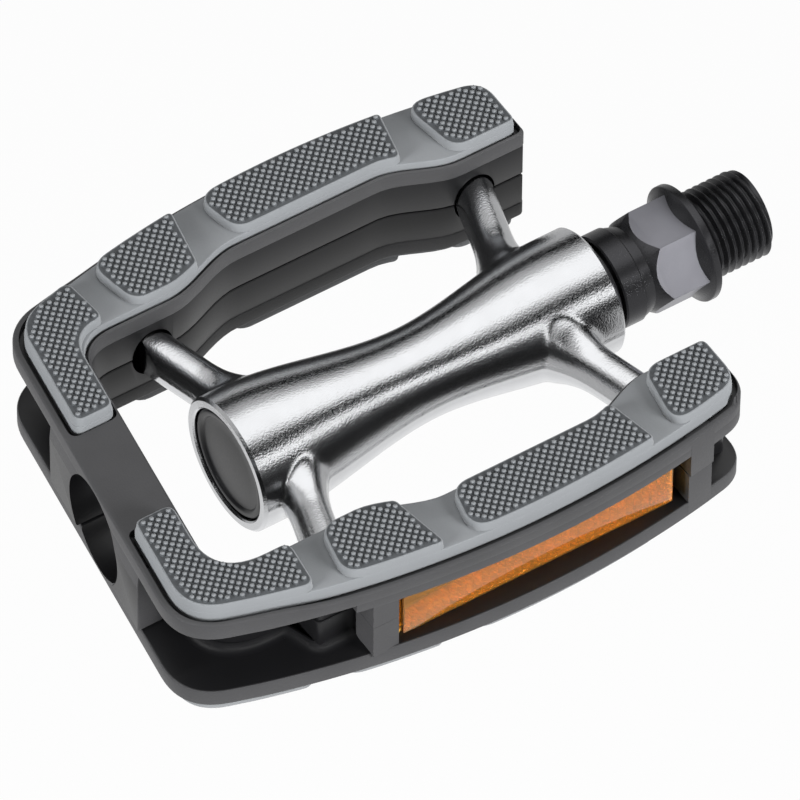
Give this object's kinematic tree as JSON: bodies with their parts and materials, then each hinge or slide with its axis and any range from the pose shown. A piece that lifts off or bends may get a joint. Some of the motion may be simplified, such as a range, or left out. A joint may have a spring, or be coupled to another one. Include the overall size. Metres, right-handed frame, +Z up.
{
  "type": "flat bicycle pedal",
  "caption": "Two-sided flat bicycle pedal: waisted cast barrel with splayed arms in a U-shaped plastic cage, grey grip strips, amber side reflectors and a spindle turning on loose balls.",
  "frame": {"origin": "centre of the pedal's bounding box, on the spindle's axis", "axes": "+X along the spindle towards the crank, +Y towards the rear rail, +Z up out of the upper tread"},
  "size_m": [0.1202, 0.0818, 0.0244],
  "materials": {
    "cast_aluminium": "tumbled casting, satin",
    "black_oxide_steel": "black oxide",
    "bearing_steel": "ground",
    "moulded_nylon": "fine moulded grain",
    "grip_rubber": "dotted thermoplastic rubber",
    "amber_lens": "moulded prism lens"
  },
  "bodies": {
    "spindle": {"spindle": "black_oxide_steel", "outer_cone": "bearing_steel", "lock_washer": "bearing_steel", "lock_nut": "bearing_steel"},
    "pedal": {"spindle_housing": "cast_aluminium", "outer_cup": "bearing_steel", "inner_cup": "bearing_steel", "dust_cap": "moulded_nylon", "inner_seal": "moulded_nylon", "cage_upper": "moulded_nylon", "cage_lower": "moulded_nylon", "grip_upper_front": "grip_rubber", "grip_upper_rear": "grip_rubber", "grip_lower_front": "grip_rubber", "grip_lower_rear": "grip_rubber", "reflector_front": "amber_lens", "reflector_rear": "amber_lens"},
    "outer_balls": {"outer_ball_01": "bearing_steel", "outer_ball_02": "bearing_steel", "outer_ball_03": "bearing_steel", "outer_ball_04": "bearing_steel", "outer_ball_05": "bearing_steel", "outer_ball_06": "bearing_steel", "outer_ball_07": "bearing_steel", "outer_ball_08": "bearing_steel", "outer_ball_09": "bearing_steel", "outer_ball_10": "bearing_steel"},
    "inner_balls": {"inner_ball_01": "bearing_steel", "inner_ball_02": "bearing_steel", "inner_ball_03": "bearing_steel", "inner_ball_04": "bearing_steel", "inner_ball_05": "bearing_steel", "inner_ball_06": "bearing_steel", "inner_ball_07": "bearing_steel", "inner_ball_08": "bearing_steel", "inner_ball_09": "bearing_steel", "inner_ball_10": "bearing_steel"}
  },
  "joints": [
    {"name": "pedal_spin", "type": "hinge", "parent": "spindle", "child": "pedal", "pos_m": [0, 0, 0], "axis": [1, 0, 0], "continuous": true},
    {"name": "outer_ball_orbit", "type": "hinge", "parent": "spindle", "child": "outer_balls", "pos_m": [0, 0, 0], "axis": [1, 0, 0], "continuous": true},
    {"name": "inner_ball_orbit", "type": "hinge", "parent": "spindle", "child": "inner_balls", "pos_m": [0, 0, 0], "axis": [1, 0, 0], "continuous": true}
  ],
  "couplings": [
    {"joint": "outer_ball_orbit", "follows": "pedal_spin", "ratio": 0.5968},
    {"joint": "inner_ball_orbit", "follows": "pedal_spin", "ratio": 0.5968}
  ]
}
